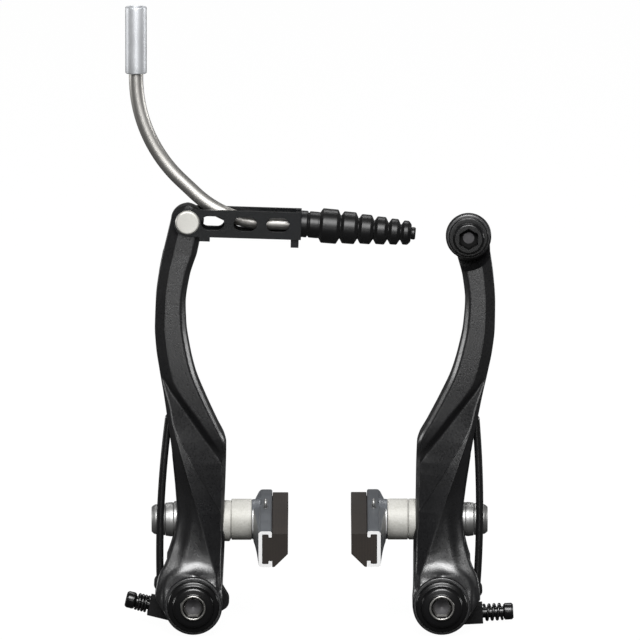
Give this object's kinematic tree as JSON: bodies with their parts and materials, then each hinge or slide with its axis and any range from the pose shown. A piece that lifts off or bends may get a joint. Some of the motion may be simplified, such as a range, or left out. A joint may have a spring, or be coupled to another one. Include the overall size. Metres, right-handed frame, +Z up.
{
  "type": "v brake",
  "caption": "Linear-pull bicycle rim brake: black pivoting arms with threaded shoes and return springs, and a bent cable guide tube held by a slotted link with a ribbed boot.",
  "frame": {"origin": "midway between the two pivot axes, on the plane where the pivot sleeves meet the fork", "axes": "+Z up along the arms, +X to the right as seen from the front, +Y backwards along the pivots into the fork"},
  "size_m": [0.1092, 0.0713, 0.1769],
  "materials": {
    "arm_black": "satin black paint",
    "bush_brass": "plain",
    "steel_plain": "zinc plated",
    "steel_black": "black coated",
    "plastic_black": "satin",
    "spacer_grey": "matte",
    "holder_gunmetal": "satin, bare at the ends",
    "pad_rubber": "matte",
    "link_grey": "dark satin coating",
    "tube_polished": "polished",
    "liner_plastic": "plain",
    "ferrule_aluminium": "satin",
    "boot_rubber": "satin"
  },
  "bodies": {
    "frame_side": {"left_pivot_bolt": "steel_black", "left_pivot_sleeve": "steel_plain", "left_stop_plate": "steel_plain", "left_spring_holder": "plastic_black", "left_adjuster_spring": "steel_black", "left_return_spring": "steel_black", "right_pivot_bolt": "steel_black", "right_pivot_sleeve": "steel_plain", "right_stop_plate": "steel_plain", "right_spring_holder": "plastic_black", "right_adjuster_spring": "steel_black", "right_return_spring": "steel_black"},
    "left_lever": {"left_arm": "arm_black", "left_bearing_bush": "bush_brass", "left_inner_dome_washer": "steel_plain", "left_inner_cup_spacer": "spacer_grey", "left_outer_dome_washer": "steel_plain", "left_outer_cup_washer": "steel_plain", "left_shoe_nut": "steel_plain", "left_shoe_post": "steel_plain", "left_shoe_holder": "holder_gunmetal", "left_pad": "pad_rubber", "left_pad_pin": "steel_plain"},
    "right_lever": {"right_arm": "arm_black", "right_bearing_bush": "bush_brass", "right_inner_dome_washer": "steel_plain", "right_inner_cup_spacer": "spacer_grey", "right_outer_dome_washer": "steel_plain", "right_outer_cup_washer": "steel_plain", "right_shoe_nut": "steel_plain", "right_shoe_post": "steel_plain", "right_shoe_holder": "holder_gunmetal", "right_pad": "pad_rubber", "right_pad_pin": "steel_plain", "cable_anchor_bolt": "steel_black", "cable_anchor_washer": "steel_plain"},
    "link_unit": {"link": "link_grey", "link_pin": "steel_plain"},
    "noodle_unit": {"guide_tube": "tube_polished", "tube_liner": "liner_plastic", "ferrule": "ferrule_aluminium", "boot": "boot_rubber"},
    "left_screw": {"left_adjuster_screw": "steel_black"},
    "right_screw": {"right_adjuster_screw": "steel_black"}
  },
  "joints": [
    {"name": "left_arm_pivot", "type": "hinge", "parent": "frame_side", "child": "left_lever", "pos_m": [-0.03475, 0, 0], "axis": [0, 1, 0], "range_deg": [-20, 1.9], "stiffness_Nm_per_rad": 1.5, "deforming": ["left_return_spring"]},
    {"name": "right_arm_pivot", "type": "hinge", "parent": "frame_side", "child": "right_lever", "pos_m": [0.03475, 0, 0], "axis": [0, 1, 0], "range_deg": [-1.9, 20], "stiffness_Nm_per_rad": 1.5, "deforming": ["right_return_spring"]},
    {"name": "link_pivot", "type": "hinge", "parent": "left_lever", "child": "link_unit", "pos_m": [-0.0363, -0.01855, 0.10793], "axis": [0, 1, 0], "range_deg": [-45, 30]},
    {"name": "guide_tube_swivel", "type": "hinge", "parent": "link_unit", "child": "noodle_unit", "pos_m": [-0.0363, -0.01855, 0.10793], "axis": [0.9995, 0, -0.0305], "range_deg": [-8, 8]},
    {"name": "left_tension_screw", "type": "hinge", "parent": "frame_side", "child": "left_screw", "pos_m": [-0.0508, -0.00465, -0.00239], "axis": [-0.9703, 0, 0.2419], "range_deg": [-180, 180]},
    {"name": "right_tension_screw", "type": "hinge", "parent": "frame_side", "child": "right_screw", "pos_m": [0.05005, -0.00465, -0.00541], "axis": [0.9986, 0, 0.0523], "range_deg": [-180, 180]}
  ]
}
